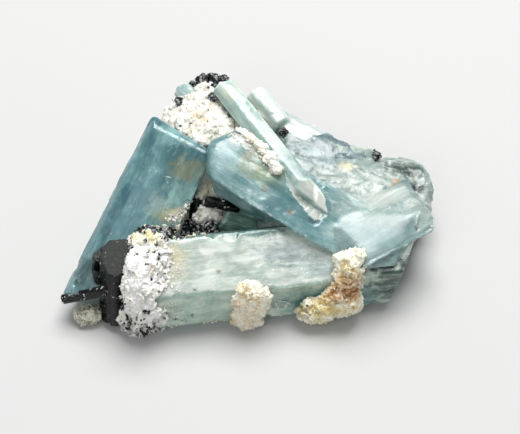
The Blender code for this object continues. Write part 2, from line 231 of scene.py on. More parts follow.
def beryl(
    name, foot, head, body, deep, milk, cloudiness,
    stretch=3.0, milkiness=0.8, faces=(), marks=(), glitter=0.0, rough=0.12,
):
    """Cloudy aquamarine: a mixture of clear crystal and milky, coloured crystal.

    Its colours are the body's, the deep zones' and the milky veils', and its zones are
    stretched along the crystal. The faces are (direction, colour, strength, cloudiness
    added): a colour for each flat face by the way it turns, mostly painted light and shade.
    The marks are (middle, radii, colour, strength, raggedness).
    """
    made, place = finish(name)
    within = lengthwise(place, foot, head, stretch)
    clouds = place.mottle(0.3, 8, 0.62, 0.35)
    streaks = within.mottle(0.85, 8, 0.68, 0.25)
    threads = lengthwise(place, foot, head, 32).mottle(4.4, 4, 0.62)
    strokes = lengthwise(place, foot, head, 7).mottle(1.7, 6, 0.66, 0.3)
    veil = within.mottle(0.5, 9, 0.68, 0.35)
    colour = (streaks * 0.6 + clouds * 0.4).ramp(0.39, 0.60).blend(deep, body)
    colour = (veil.ramp(0.44, 0.66) * milkiness).blend(colour, milk)
    colour = (strokes.ramp(0.55, 0.70) * 0.35).blend(colour, deep)
    cloudy_share = veil.ramp(0.42, 0.64, -0.1, 0.16) + cloudiness
    normal = place.node("ShaderNodeNewGeometry", {}, {}, "Normal")
    for direction, hue, strength, added in faces:
        level = place.vector("DOT_PRODUCT", normal, direction, "Value").ramp(0.93, 0.985)
        level = level * (veil * 0.6 + clouds * 0.4).ramp(0.38, 0.58, 0.5, 1.0)
        colour = (level * strength).blend(colour, hue)
        cloudy_share = cloudy_share + level * added
    for middle, radii, hue, strength, ragged in marks:
        inside = place.patch(middle, radii, ragged) * strokes.ramp(0.38, 0.54, 0.65, 1.0)
        colour = (inside * strength).blend(colour, hue)
    wisps = within.mottle(0.6, 6, 0.66, 0.3).line(0.5, 0.012) * clouds.ramp(0.52, 0.64)
    colour = (wisps * 0.3).blend(colour, tone(226, 236, 228))
    colour = (threads.ramp(0.58, 0.74) * 0.25).blend(colour, milk)
    edge = place.node("ShaderNodeAttribute", {"attribute_name": "edge"}, {}, "Fac")
    # Pale along the edges in places: partly bruising, partly a painted highlight.
    bruise_and_highlight = edge.ramp(0.4, 0.95) * place.mottle(0.9, 6, 0.74).ramp(0.49, 0.62)
    colour = (bruise_and_highlight * 0.5).blend(colour, tone(230, 238, 234))
    colour = (place.dots(1.3, 0.16, 0.07) * 0.8).blend(colour, tone(236, 242, 238))
    colour = (place.dots(1.1, 0.13, 0.05) * 0.8).blend(colour, tone(52, 60, 58))
    cloudy_share = cloudy_share + bruise_and_highlight * 0.3 + wisps * 0.2
    roughness = streaks.ramp(0.3, 0.7, rough, rough + 0.16) + bruise_and_highlight * 0.3
    grain = threads * 0.5 + streaks * 0.35 + strokes * 0.3
    if glitter:
        grain = grain + place.facets(2.6) * glitter + place.mottle(2.4, 6, 0.7) * glitter
        # Painted glints: small white spots that stand for light caught by inner cracks.
        painted_glints = place.dots(2.6, 0.22, 0.12) * clouds.ramp(0.44, 0.56)
        colour = (painted_glints * 0.9).blend(colour, (1, 1, 1, 1))
    relief = {"Strength": 0.7, "Distance": 0.00006, "Height": grain}
    bump = place.node("ShaderNodeBump", {}, relief)
    clear = place.node("ShaderNodeBsdfPrincipled", {}, {
        "Base Color": tone(236, 250, 248), "Roughness": 0.05, "IOR": 1.577,
        "Transmission Weight": 1.0, "Normal": bump,
    })
    cloudy = place.node("ShaderNodeBsdfPrincipled", {}, {
        "Base Color": colour, "Roughness": roughness, "IOR": 1.577, "Normal": bump,
        "Subsurface Weight": 0.85, "Subsurface Scale": 0.0014,
        "Subsurface Radius": (0.7, 1.0, 1.0),
    })
    surface = place.node("ShaderNodeMixShader", {}, {0: cloudy_share, 1: clear, 2: cloudy})
    absorption = {"Color": (0.43, 0.79, 0.79, 1), "Density": 150.0}
    inside = place.node("ShaderNodeVolumeAbsorption", {}, absorption)
    place.node("ShaderNodeOutputMaterial", {}, {"Surface": surface, "Volume": inside})
    return made


def even_mesh(node, size):
    """The node's solid in millimetres, remade from small even faces."""
    weld_distance = 0.002
    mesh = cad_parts[node].data.copy()
    mesh.transform(Matrix.Scale(1000, 4))
    welded = bmesh.new()
    welded.from_mesh(mesh)
    bmesh.ops.remove_doubles(welded, verts=welded.verts, dist=weld_distance)
    welded.to_mesh(mesh)
    welded.free()
    rough = bpy.data.objects.new("rough", mesh)
    bpy.context.scene.collection.objects.link(rough)
    melt = rough.modifiers.new("Even", "REMESH")
    melt.mode = "VOXEL"
    melt.voxel_size = size
    graph = bpy.context.evaluated_depsgraph_get()
    even = bpy.data.meshes.new_from_object(rough.evaluated_get(graph))
    bpy.data.objects.remove(rough)
    return even


class Surface:
    """The points of an even mesh, moved about as arrays of millimetres."""

    def __init__(self, node, size):
        self.mesh = even_mesh(node, size)
        self.points = np.empty(len(self.mesh.vertices) * 3)
        self.mesh.vertices.foreach_get("co", self.points)
        self.points = self.points.reshape(-1, 3)
        self.edges = np.empty(len(self.mesh.edges) * 2, int)
        self.mesh.edges.foreach_get("vertices", self.edges)
        self.edges = self.edges.reshape(-1, 2)
        self.normals = np.empty(len(self.points) * 3)
        self.mesh.vertex_normals.foreach_get("vector", self.normals)
        self.normals = self.normals.reshape(-1, 3)

    def rise(self, heights):
        """Moves every point outwards by its own height."""
        self.points += self.normals * np.reshape(heights, (-1, 1))

    def worn(self, rounds):
        """The points after averaging each with its neighbours this many times."""
        points = self.points
        first, second = self.edges.T
        shared = np.bincount(self.edges.ravel(), minlength=len(points)).reshape(-1, 1)
        for _ in range(rounds):
            total = np.empty_like(points)
            for axis in range(3):
                total[:, axis] = np.bincount(first, points[second, axis], len(points))
                total[:, axis] += np.bincount(second, points[first, axis], len(points))
            points = total / shared
        return points

    def soften(self, rounds, share):
        """Averages each point with its neighbours this many times, by its own share."""
        self.points += (self.worn(rounds) - self.points) * np.reshape(share, (-1, 1))

    def edge_wear(self, amount, frequency, rounds=6):
        """Rounds the edges off in places, and returns how near each point is to an edge."""
        full_edge = 0.1
        inwards = self.worn(rounds) - self.points
        share = np.clip(wander(self.points, frequency, 3) * 2 + amount, 0, 1)
        self.points += inwards * share.reshape(-1, 1)
        return np.clip(-np.sum(inwards * self.normals, axis=1) / full_edge, 0, 1)

    def chips(self, edge, count, radius, depth, seed):
        """Breaks small flat flakes off the edges, each leaning a little at random."""
        near_edge, tilt = 0.6, 0.25
        rng = np.random.default_rng(seed)
        places = np.flatnonzero(edge > near_edge)
        for place in rng.choice(places, count):
            middle = self.points[place]
            facing = self.normals[place] + rng.normal(0, tilt, 3)
            facing /= np.linalg.norm(facing)
            offsets = self.points - middle
            near = np.linalg.norm(offsets, axis=1) < rng.uniform(*radius)
            above = offsets @ facing + rng.uniform(*depth)
            self.points -= facing * np.where(near & (above > 0), above, 0).reshape(-1, 1)

    def pick(self, line, reach, count, seed, facing=(0, 0, 1), least=-1.0):
        """Points picked at random within reach of a broken line, where the surface faces so."""
        steps = np.linspace(0, 1, 12).reshape(-1, 1)
        line = np.array(line, float)
        path = np.concatenate([a + (b - a) * steps for a, b in zip(line[:-1], line[1:])])
        far = np.min([np.linalg.norm(self.points - spot, axis=1) for spot in path], axis=0)
        chosen = np.flatnonzero((far < reach) & (self.normals @ np.array(facing) > least))
        return self.points[np.random.default_rng(seed).choice(chosen, count)]

    def piece(self, name, looks, slot, *nodes, which=None, edge=None, crisp=None):
        """The finished piece in metres, in place of its solids.

        For each point, which gives the number of its look, and edge how near it is to an
        edge. Faces that meet at more than crisp degrees keep a sharp edge.
        """
        self.points[:, 2] = np.maximum(self.points[:, 2], 0.0)
        self.mesh.vertices.foreach_set("co", (self.points / 1000).ravel())
        self.mesh.polygons.foreach_set("use_smooth", [True] * len(self.mesh.polygons))
        if crisp:
            self.mesh.update()
            self.mesh.set_sharp_from_angle(angle=math.radians(crisp))
        self.mesh.materials.clear()
        for look in looks:
            self.mesh.materials.append(look)
        if which is not None:
            starts = np.empty(len(self.mesh.polygons), int)
            self.mesh.polygons.foreach_get("loop_start", starts)
            corners = np.empty(len(self.mesh.loops), int)
            self.mesh.loops.foreach_get("vertex_index", corners)
            self.mesh.polygons.foreach_set("material_index", which[corners[starts]])
        if edge is not None:
            self.mesh.attributes.new("edge", "FLOAT", "POINT").data.foreach_set("value", edge)
        self.mesh.update()
        made = bpy.data.objects.new(name, self.mesh)
        bpy.context.scene.collection.objects.link(made)
        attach(made, "root")
        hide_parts(*nodes)


def wander(points, frequency, octaves=3):
    """Smooth noise at each point, about nothing, from layers that each fade and shrink."""
    fade, shrink = 0.9, 2.1
    return np.array([noise.fractal(Vector(p), fade, shrink, octaves) for p in points * frequency])


def drawn_out(points, along, keep):
    """The points, with their distance along the axis cut to this share."""
    return points - along * np.sum(points * along, axis=1, keepdims=True) * (1 - keep)


def striate(surface, along, deep=0.025):
    """Fine ridges that run lengthwise on the sides, and a slight unevenness everywhere."""
    sides = 1 - np.sum(surface.normals * along, axis=1) ** 2
    ridges = wander(drawn_out(surface.points, along, 0.04), 1.5, 4)
    surface.rise(ridges * sides * deep + wander(surface.points, 0.3) * 0.06)


LEFT_FOOT, LEFT_HEAD = (-21.1, -14.4, 1.2), (-9.6, 5.6, 14.4)
left = Surface("aquamarine_left", 0.14)
left.rise(0.1)
left.soften(20, np.clip((left.points[:, 2] - 12.5) / 2.5, 0, 1))
striate(left, along_of(LEFT_FOOT, LEFT_HEAD))
left_edge = left.edge_wear(0.0, 0.35)
left.chips(left_edge, count=36, radius=(0.3, 1.0), depth=(0.04, 0.2), seed=1)
left_look = beryl(
    "left_beryl", LEFT_FOOT, LEFT_HEAD,
    body=tone(120, 164, 167), deep=tone(82, 128, 138), milk=tone(158, 189, 187),
    cloudiness=0.6, milkiness=0.6,
    # Its upper left face is paler: painted light.
    faces=(((-0.74, -0.02, 0.67), tone(150, 181, 185), 0.6, 0.0),),
    marks=(
        ((-10.2, 1.2, 14.6), (5.0, 3.2, 3.2), tone(76, 122, 128), 0.8, 1.0),
        ((-8.8, -0.2, 13.2), (2.8, 2.2, 2.0), tone(154, 152, 122), 0.8, 1.6),
        ((-9.9, -3.0, 11.6), (3.0, 2.2, 2.0), tone(150, 187, 179), 0.8, 1.4),
        ((-11.4, -5.4, 10.0), (2.6, 1.4, 1.4), tone(172, 176, 134), 0.9, 1.2),
        ((-13.7, -3.9, 11.2), (2.6, 1.8, 1.8), tone(176, 197, 190), 0.8, 1.4),
        ((-15.8, -3.4, 11.6), (2.4, 2.2, 2.0), tone(74, 122, 140), 0.8, 1.4),
        ((-17.6, -6.4, 9.8), (2.6, 2.2, 2.0), tone(78, 122, 136), 0.7, 1.4),
        ((-10.0, 3.9, 15.8), (5.0, 1.6, 1.5), tone(146, 185, 185), 0.9, 0.8),
        ((-22.6, -12.4, 6.2), (2.5, 3.0, 3.0), tone(70, 94, 94), 0.8, 1.0),
        ((-9.6, -5.2, 9.6), (2.6, 1.0, 1.4), tone(226, 218, 190), 0.95, 0.9),
        ((-14.2, 5.4, 16.6), (0.4, 0.3, 0.4), tone(28, 32, 35), 0.9, 0.4),
    ),
)
left.piece("left_crystal", [left_look], "aquamarine", "aquamarine_left", edge=left_edge)


# The front crystal: a long prism that lies across the front. Milky streaks and a painted
# highlight whiten its upper face, its narrow back face is painted shade, and it is clearer
# and bluer below, towards its right end.
FRONT_FOOT, FRONT_HEAD = (-14.0, -14.0, 5.3), (20.7, -8.9, 5.3)
front = Surface("aquamarine_front", 0.16)
front.rise(0.1)
front.soften(50, np.clip((1 - front.points[:, 0]) / 7, 0, 1) * (front.points[:, 1] < -12))
striate(front, along_of(FRONT_FOOT, FRONT_HEAD))
front_edge = front.edge_wear(0.05, 0.35)
front.chips(front_edge, count=44, radius=(0.3, 1.1), depth=(0.04, 0.2), seed=2)
front_look = beryl(
    "front_beryl", FRONT_FOOT, FRONT_HEAD,
    body=tone(190, 208, 194), deep=tone(160, 184, 170), milk=tone(208, 216, 206),
    cloudiness=0.66, stretch=2.2, milkiness=0.6,
    # The upper face is whitened partly by the milky veil and partly by a painted highlight, the
    # overhead light's glare; the narrow face at the back is painted shade.
    faces=(
        ((0.06, -0.40, 0.91), tone(200, 205, 199), 0.85, 0.25),
        ((0.14, -0.98, 0.10), tone(206, 222, 202), 0.6, 0.1),
        ((-0.09, 0.58, 0.81), tone(66, 102, 107), 0.9, 0.0),
    ),
    marks=(
        # A dark teal band along the back edge of the upper face: painted shade.
        ((-1.0, -8.8, 9.9), (5.6, 0.9, 1.2), tone(92, 128, 128), 0.9, 0.8),
        ((10.5, -12.9, 8.2), (5.5, 2.6, 1.6), tone(158, 173, 171), 0.9, 1.2),
        ((4.6, -11.4, 9.2), (4.4, 2.0, 1.4), tone(152, 164, 164), 0.9, 1.4),
        ((12.5, -15.0, 3.4), (11.5, 2.2, 3.4), tone(84, 134, 136), 0.95, 0.7),
        ((19.6, -12.8, 5.2), (4.0, 3.6, 4.4), tone(40, 60, 54), 0.95, 1.4),
        ((-11.6, -13.4, 8.8), (3.6, 3.4, 2.4), tone(214, 213, 192), 0.95, 1.2),
        ((-10.8, -12.0, 9.7), (2.4, 1.6, 1.2), tone(222, 216, 176), 0.5, 1.6),
        ((-7.6, -16.4, 7.4), (0.4, 0.3, 0.4), tone(92, 74, 52), 0.8, 0.6),
        ((-4.4, -14.0, 8.4), (0.5, 0.3, 0.4), tone(150, 130, 104), 0.7, 0.6),
    ),
)
front.piece("front_crystal", [front_look], "aquamarine", "aquamarine_front", edge=front_edge)


# The crystal cluster: the centre crystal with the long pale blade across it, the small
# square-ended blade, the back, shoulder and right crystals with their broken rim, and the
# front right corner. They grew through each other: one piece, with a finish for each.
def turned(first, *distances):
    """Six sides from the turn of the first, repeating the distances."""
    return tuple((first + 60 * i, distances[i % len(distances)]) for i in range(6))


# A side is (turn, distance from the axis), and an end face is (tilt, turn, reach past the end).
# The finishes are numbered in the order of the cluster's looks.
Form = namedtuple("Form", "finish foot head sides head_ends foot_ends")
CENTRE, BLADE, BACK, RIGHT, CORNER, SMALL_BLADE, GLARE_TOP = range(7)
SQUARE = ((0, 0, 0),)
GROWN = {
    "centre": Form(
        CENTRE, foot=(13.4, -7.3, 7.6), head=(-5.2, 1.2, 14.8),
        sides=((106, 3.0), (218, 2.85), (50, 4.6), (350, 4.0), (280, 3.0)),
        head_ends=((30, 195, 1.0), (50, 75, 2.6), (35, 30, 2.1)),
        foot_ends=((15, 200, 1.2),),
    ),
    "under": Form(
        CENTRE, foot=(6.0, -4.0, 6.5), head=(-5.0, -0.8, 12.4),
        sides=turned(125, 1.7), head_ends=((20, 200, 0),), foot_ends=SQUARE,
    ),
    "blade": Form(
        BLADE, foot=(10.8, -8.9, 12.8), head=(-3.9, 13.2, 16.3),
        sides=turned(85, 1.5), head_ends=((8, 0, 0),),
        foot_ends=((74, 20, 0.9), (74, 190, 1.2), (60, 95, -2.1)),
    ),
    "small_blade": Form(
        SMALL_BLADE, foot=(4.3, 10.0, 11.75), head=(0.6, 15.4, 12.7),
        sides=turned(100, 1.45, 1.3, 1.45), head_ends=((6, 20, 0),), foot_ends=SQUARE,
    ),
    "back": Form(
        BACK, foot=(16.5, 4.7, 6.7), head=(0.6, 13.2, 9.8),
        sides=turned(88, 2.8), head_ends=((10, 60, 0),), foot_ends=SQUARE,
    ),
    "shoulder": Form(
        RIGHT, foot=(3.0, 6.4, 7.6), head=(17.0, 5.2, 5.6),
        sides=((88, 3.9), (28, 4.2), (148, 4.2), (208, 4.0), (268, 3.0), (328, 4.0)),
        head_ends=SQUARE, foot_ends=((30, 90, 0.8),),
    ),
    "right": Form(
        RIGHT, foot=(4.6, -0.2, 8.2), head=(22.0, 0.6, 5.2),
        sides=((84, 3.6), (24, 6.6), (144, 5.6), (204, 6.0), (264, 3.0), (324, 5.0)),
        head_ends=((30, 60, 1.6), (30, 150, 2.0)), foot_ends=((40, 84, 1.5),),
    ),
    "rim": Form(
        RIGHT, foot=(17.0, 3.4, 5.6), head=(24.8, 3.6, 4.9),
        sides=(
            (75, 3.6), (38, 5.2), (5, 6.0), (115, 3.8), (150, 4.6), (200, 4.6), (262, 3.0),
            (320, 4.6),
        ),
        head_ends=((10, 10, 1.3), (38, 50, 2.7), (35, 110, 1.9), (40, 160, 1.9), (40, 0, 3.5)),
        foot_ends=((30, 80, 1),),
    ),
    "corner": Form(
        CORNER, foot=(11.6, -10.4, 6.9), head=(23.6, -1.9, 6.0),
        sides=((79, 4.4), (25, 6.3), (-37, 2.5), (115, 4.5), (190, 4.4), (250, 2.6)),
        head_ends=((12, 10, 0.2), (35, 75, 1.8), (44, -7, 1.9)),
        foot_ends=((55, 80, 2.6), (15, 0, 0.6)),
    ),
    "overgrowth": Form(
        CORNER, foot=(12.2, -10.15, 5.3), head=(20.7, -8.9, 5.3),
        sides=((66, 4.2), (20, 4.3), (110, 6.3), (180, 5.0), (250, 2.0), (-30, 4.0)),
        head_ends=((49, 10, 2.0), (28, -29, 0.3)), foot_ends=((12, 20, 0.3),),
    ),
}


def ends_of(name):
    """The foot and the head of one of the cluster's crystals."""
    return GROWN[name].foot, GROWN[name].head


def outside(points, form):
    """How far each point lies outside the crystal's faces."""
    local = (points - form.foot) @ np.array(axes_of(form.foot, form.head))
    length = (Vector(form.head) - Vector(form.foot)).length
    far = np.full(len(points), -np.inf)
    for turn, distance in form.sides:
        angle = math.radians(turn)
        far = np.maximum(far, local @ (0, math.cos(angle), math.sin(angle)) - distance)
    for start, way, ends in ((length, 1, form.head_ends), (0, -1, form.foot_ends)):
        for tilt, turn, reach in ends:
            lean, angle = math.radians(tilt), math.radians(turn)
            across = np.array((0, math.cos(angle), math.sin(angle))) * math.sin(lean)
            facing = across + np.array((way * math.cos(lean), 0, 0))
            far = np.maximum(far, (local - (start, 0, 0)) @ facing - reach)
    return far


def broken_faces(points, frequency):
    """Heights that break a surface into flat facets, each leaning its own way.

    The facet's seed, spread over other cells, draws its lean and the step up to it.
    """
    steepness, step = 1.1, 0.14
    heights = []
    for point in points * frequency:
        seed = noise.voronoi(Vector(point))[1][0]
        lean = noise.cell_vector(seed * 7.3) - Vector((0.5, 0.5, 0.5))
        slope = lean.dot(Vector(point) - seed) * steepness
        heights.append(slope + noise.cell(seed * 5.1) * step)
    return np.array(heights) / frequency


# Each point takes the finish of the crystal whose faces are nearest, with a ragged border
# where the back, right and corner crystals run into each other.
cluster = Surface("aquamarine_cluster", 0.184)
ragged = wander(cluster.points, 0.6, 4) * 0.5
far = np.array([outside(cluster.points, form) for form in GROWN.values()])
kind_of = np.array([form.finish for form in GROWN.values()])
axes = np.array([along_of(*ends_of(name)) for name in GROWN])
owner = far.argmin(axis=0)
running = np.isin(kind_of, (BACK, RIGHT, CORNER))
mixed = np.where(running.reshape(-1, 1), far, np.inf)
mixed += ragged * np.isin(kind_of, (BACK, CORNER)).reshape(-1, 1)
owner = np.where(running[owner], mixed.argmin(axis=0), owner)
kinds = kind_of[owner]
# The back crystal's top is painted near-white on the far side of two lines, each a point and a
# direction on plan: a painted highlight for the overhead light's glare.
GLARE_BORDERS = (((3.1, 10.0), (0.464, 0.887)), ((7.5, 7.7), (-0.5, 0.868)))
plan = cluster.points[:, :2] + ragged.reshape(-1, 1) * 0.4
white = np.all([(plan - point) @ facing > 0 for point, facing in GLARE_BORDERS], axis=0)
kinds = np.where((kinds == BACK) & white, GLARE_TOP, kinds)
cluster.rise(0.1)
striate(cluster, axes[owner])
# The crystals at the right are worn and melt into each other on top. The centre crystal's
# upper end is blunt.
broken = np.isin(kinds, (BACK, RIGHT))
worn = (broken | (kinds == CORNER)).reshape(-1, 1)
cluster.points = np.where(worn, cluster.worn(6), cluster.points)
merged = np.clip((cluster.points[:, 0] - 10.5) / 3, 0, 1)
merged *= np.clip((cluster.normals[:, 2] - 0.3) / 0.4, 0, 1) * (cluster.points[:, 2] > 9)
cluster.soften(60, merged)
cluster.soften(36, np.clip(-(cluster.points[:, 0] + 0.5) / 2, 0, 1) * (kinds == CENTRE))
# The outer sides of the broken crystals are jagged, and the blade's lower tip is cut off.
rim = broken & (cluster.normals[:, 2] < 0.75)
jagged = np.zeros(len(kinds))
jagged[broken] = broken_faces(cluster.points[broken], 1.1)
cluster.rise(jagged * np.where(rim, 0.5, 0.0) + wander(cluster.points, 0.9, 6) * broken * 0.09)
BLADE_TIP, TIP_FACING = (6.9, -4.8, 14.3), np.array((-0.465, -0.885, 0))
past_tip = np.clip((cluster.points - BLADE_TIP) @ TIP_FACING, 0, 2)
cluster.points -= np.where(kinds == BLADE, past_tip, 0).reshape(-1, 1) * TIP_FACING
cluster_edge = cluster.edge_wear(0.0, 0.35)
bruised_edge = np.where(kinds == SMALL_BLADE, 0, cluster_edge)
cluster.chips(bruised_edge, count=90, radius=(0.3, 0.9), depth=(0.03, 0.14), seed=3)
broken_edge = np.where(broken, cluster_edge, 0)
cluster.chips(broken_edge, count=50, radius=(0.9, 2.0), depth=(0.1, 0.35), seed=4)
# A pale mark that the centre, right and corner crystals share, where they meet.
PALE_JOIN = ((14.8, -5.0, 11.0), (4.2, 3.6, 2.8), tone(190, 208, 202), 0.95, 1.4)
centre_look = beryl(
    "centre_beryl", *ends_of("centre"),
    body=tone(148, 183, 183), deep=tone(106, 152, 157), milk=tone(188, 205, 200),
    cloudiness=0.64, stretch=2.0, milkiness=0.6,
    faces=(((-0.69, 0.04, 0.72), tone(168, 193, 196), 0.5, 0.0),),
    marks=(
        ((-1.2, 2.0, 17.6), (1.9, 1.3, 1.6), tone(238, 240, 230), 1.0, 1.0),
        ((0.9, 0.4, 16.6), (1.7, 1.0, 1.4), tone(236, 238, 226), 0.95, 1.0),
        ((6.0, -6.6, 12.4), (5.4, 3.2, 3.0), tone(104, 150, 154), 0.85, 1.0),
        PALE_JOIN,
        ((-4.4, -1.4, 16.8), (2.8, 2.4, 2.2), tone(164, 193, 196), 0.8, 1.2),
        ((0.0, -1.2, 16.0), (3.0, 2.4, 2.2), tone(184, 192, 170), 0.8, 1.6),
        ((2.6, -2.2, 15.2), (2.8, 1.8, 1.6), tone(146, 160, 128), 0.8, 1.8),
        ((4.4, -3.6, 14.2), (2.4, 1.4, 1.4), tone(100, 142, 136), 0.6, 1.4),
        ((-5.0, -3.6, 13.6), (2.6, 1.0, 1.6), tone(150, 148, 122), 0.9, 0.8),
        ((5.3, -7.0, 12.6), (0.7, 0.5, 0.5), tone(150, 130, 110), 0.7, 1.2),
        ((1.9, -4.5, 14.3), (0.6, 0.5, 0.5), tone(154, 132, 104), 0.6, 1.2),
    ),
)
blade_look = beryl(
    "blade_beryl", *ends_of("blade"),
    body=tone(200, 217, 209), deep=tone(168, 194, 186), milk=tone(226, 233, 225),
    cloudiness=0.74, stretch=8.0, milkiness=0.7,
    faces=(
        # The top face is painted darker, painted shade that holds back the overhead light's glare.
        ((0.14, -0.06, 0.99), tone(180, 198, 190), 0.7, 0.0),
        ((0.27, -0.55, 0.79), tone(196, 194, 186), 0.85, 0.2),
    ),
    marks=(
        ((6.4, -1.4, 15.2), (3.0, 2.8, 1.5), tone(136, 164, 160), 0.9, 1.2),
        # A thin near-white line on the cut tip: a painted highlight.
        ((8.9, -4.6, 14.3), (0.4, 1.9, 1.4), tone(250, 249, 246), 0.95, 0.5),
        ((-3.0, 11.0, 17.4), (2.0, 2.0, 1.0), tone(216, 216, 192), 0.5, 1.0),
    ),
)
small_look = beryl(
    "small_blade_beryl", *ends_of("small_blade"),
    body=tone(220, 231, 224), deep=tone(196, 212, 204), milk=tone(234, 239, 233),
    cloudiness=0.84, stretch=5.0,
)
back_look = beryl(
    "back_beryl", *ends_of("back"),
    body=tone(140, 160, 162), deep=tone(108, 134, 140), milk=tone(176, 188, 186),
    cloudiness=0.66, stretch=2.2,
    marks=(((6.6, 7.0, 11.1), (3.0, 2.4, 1.6), tone(104, 132, 130), 0.85, 1.4),),
    glitter=0.5,
)
# The back crystal's top: a near-white finish that is a painted highlight, the overhead light's
# glare.
glare_look = beryl(
    "back_glare_beryl", *ends_of("back"),
    body=tone(216, 219, 215), deep=tone(184, 194, 192), milk=tone(238, 238, 232),
    cloudiness=0.86, stretch=5.0,
)
right_look = beryl(
    "right_beryl", *ends_of("right"),
    body=tone(166, 178, 171), deep=tone(140, 158, 153), milk=tone(188, 193, 184),
    cloudiness=0.74, stretch=1.3,
    marks=(
        PALE_JOIN,
        ((18.4, -1.4, 10.2), (3.0, 1.9, 1.4), tone(214, 219, 210), 0.95, 1.0),
        ((6.6, 7.0, 11.1), (3.0, 2.4, 1.6), tone(104, 132, 130), 0.85, 1.4),
        ((11.0, -1.6, 11.4), (3.4, 1.4, 2.2), tone(150, 176, 176), 0.8, 1.4),
        ((9.6, 4.6, 11.2), (4.4, 2.6, 2.0), tone(160, 178, 182), 0.7, 1.4),
        ((21.9, 4.0, 8.8), (3.4, 2.2, 2.2), tone(46, 62, 52), 1.0, 1.3),
        ((23.6, 1.0, 8.6), (1.6, 1.3, 1.3), tone(34, 36, 30), 1.0, 1.3),
        ((20.9, 1.1, 9.1), (1.3, 1.0, 1.0), tone(176, 130, 66), 1.0, 1.3),
        ((13.4, 3.2, 10.2), (1.6, 1.0, 1.0), tone(226, 214, 176), 0.8, 1.4),
    ),
    glitter=0.35, rough=0.24,
)
corner_look = beryl(
    "corner_beryl", *ends_of("corner"),
    body=tone(152, 178, 176), deep=tone(124, 154, 154), milk=tone(176, 194, 190),
    cloudiness=0.64, stretch=5.0, milkiness=0.5,
    faces=(((-0.15, 0.36, 0.92), tone(200, 210, 203), 0.9, 0.1),),
    marks=(
        PALE_JOIN,
        ((18.6, -6.6, 10.8), (4.0, 2.0, 1.6), tone(136, 156, 148), 0.7, 1.4),
        ((23.6, -4.6, 9.9), (2.4, 3.4, 2.2), tone(186, 198, 190), 0.9, 1.4),
        ((18.6, -2.4, 10.0), (5.0, 2.6, 2.6), tone(204, 213, 206), 0.9, 1.4),
        ((17.6, -9.6, 10.4), (4.6, 1.9, 1.8), tone(126, 158, 158), 0.9, 1.2),
        ((21.4, -10.6, 5.6), (3.6, 3.2, 3.8), tone(48, 60, 53), 0.95, 1.4),
    ),
    glitter=0.2, rough=0.26,
)
cluster_looks = [
    centre_look, blade_look, back_look, right_look, corner_look, small_look, glare_look,
]
cluster.piece(
    "crystal_cluster", cluster_looks, "aquamarine", "aquamarine_cluster",
    which=kinds, edge=cluster_edge,
)


# The bud: the end of a small pale crystal that pokes out of the feldspar at the top left. The
# rest of it is buried.
BUD_FOOT, BUD_HEAD = (-7.2, 12.2, 12.6), (-9.9, 17.2, 11.6)
bud = Surface("aquamarine_bud", 0.1)
bud.rise(0.1)
striate(bud, along_of(BUD_FOOT, BUD_HEAD))
bud_edge = bud.edge_wear(-0.4, 0.8, 3)
bud.chips(bud_edge, count=10, radius=(0.2, 0.6), depth=(0.03, 0.12), seed=5)
bud_look = beryl(
    "bud_beryl", BUD_FOOT, BUD_HEAD,
    body=tone(192, 210, 204), deep=tone(150, 178, 178), milk=tone(216, 226, 220),
    cloudiness=0.74, stretch=5.0,
)
bud.piece("bud_crystal", [bud_look], "aquamarine", "aquamarine_bud", edge=bud_edge)


# The pocket crystal: a greener crystal that lies in the shade at the back of the pocket, below
# the centre crystal, and grows on into the cluster.
INNER_FOOT, INNER_HEAD = (5.6, -4.7, 4.0), (-4.4, -3.0, 6.4)
inner = Surface("aquamarine_inner", 0.15)
inner.rise(0.1)
striate(inner, along_of(INNER_FOOT, INNER_HEAD))
inner_edge = inner.edge_wear(0.1, 0.8)
inner_look = beryl(
    "inner_beryl", INNER_FOOT, INNER_HEAD,
    body=tone(150, 184, 170), deep=tone(96, 130, 118), milk=tone(200, 216, 206),
    cloudiness=0.86,
)
inner.piece("pocket_crystal", [inner_look], "aquamarine", "aquamarine_inner", edge=inner_edge)


# The feldspar matrix: the white mass of sugary grains that the crystals grew from, with a
# few tan stains and black specks in it.
def granulate(surface, coarse, share=1.0):
    """Breaks a smooth lump up into grains of two sizes, pressed against its neighbours."""
    surface.rise(0.12 + broken_faces(surface.points, coarse) * 0.75 * share)
    surface.rise(broken_faces(surface.points, coarse * 2.4) * share)


def feldspar(name, body, shade, marks=(), specks=0.1, painted_crevice_shade=0.35):
    """White sugary feldspar with cream patches, painted cream shade between its grains, and a
    black speck here and there.
    """
    made, place = finish(name)
    cream = place.mottle(0.5, 7, 0.66, 0.5).ramp(0.46, 0.64)
    colour = cream.blend(body, shade)
    for middle, radii, hue, strength, ragged in marks:
        inside = place.patch(middle, radii, ragged)
        inside = inside * place.mottle(1.6, 6, 0.7).ramp(0.4, 0.56, 0.3, 1.0)
        colour = (inside * strength).blend(colour, hue)
    # Painted shade: the crevices between grains are darkened towards the shade colour.
    crevice_shade_mask = place.cells(1.9, "DISTANCE_TO_EDGE").ramp(0.0, 0.12, 1.0, 0.0)
    crevice_shade_mask = crevice_shade_mask * place.mottle(1.4, 3).ramp(0.45, 0.6)
    colour = (crevice_shade_mask * painted_crevice_shade).blend(colour, shade)
    glassy = place.lottery(2.6)
    colour = (glassy.ramp(0.0, 0.12, 0.4, 0.0)).blend(colour, tone(206, 212, 208))
    dark = place.dots(1.3, 0.34, specks)
    colour = (dark * 0.9).blend(colour, tone(34, 32, 30))
    roughness = glassy.ramp(0.7, 0.8, 0.7, 0.22)
    height = place.facets(3.0) + place.mottle(3.4, 5, 0.7)
    relief = {"Strength": 0.8, "Distance": 0.00016, "Height": height}
    stone = place.node("ShaderNodeBsdfPrincipled", {}, {
        "Base Color": colour, "Roughness": roughness, "IOR": 1.53,
        "Subsurface Weight": 0.5, "Subsurface Scale": 0.0007,
        "Subsurface Radius": (1.0, 0.95, 0.9),
        "Normal": place.node("ShaderNodeBump", {}, relief),
    })
    place.node("ShaderNodeOutputMaterial", {}, {"Surface": stone})
    return made


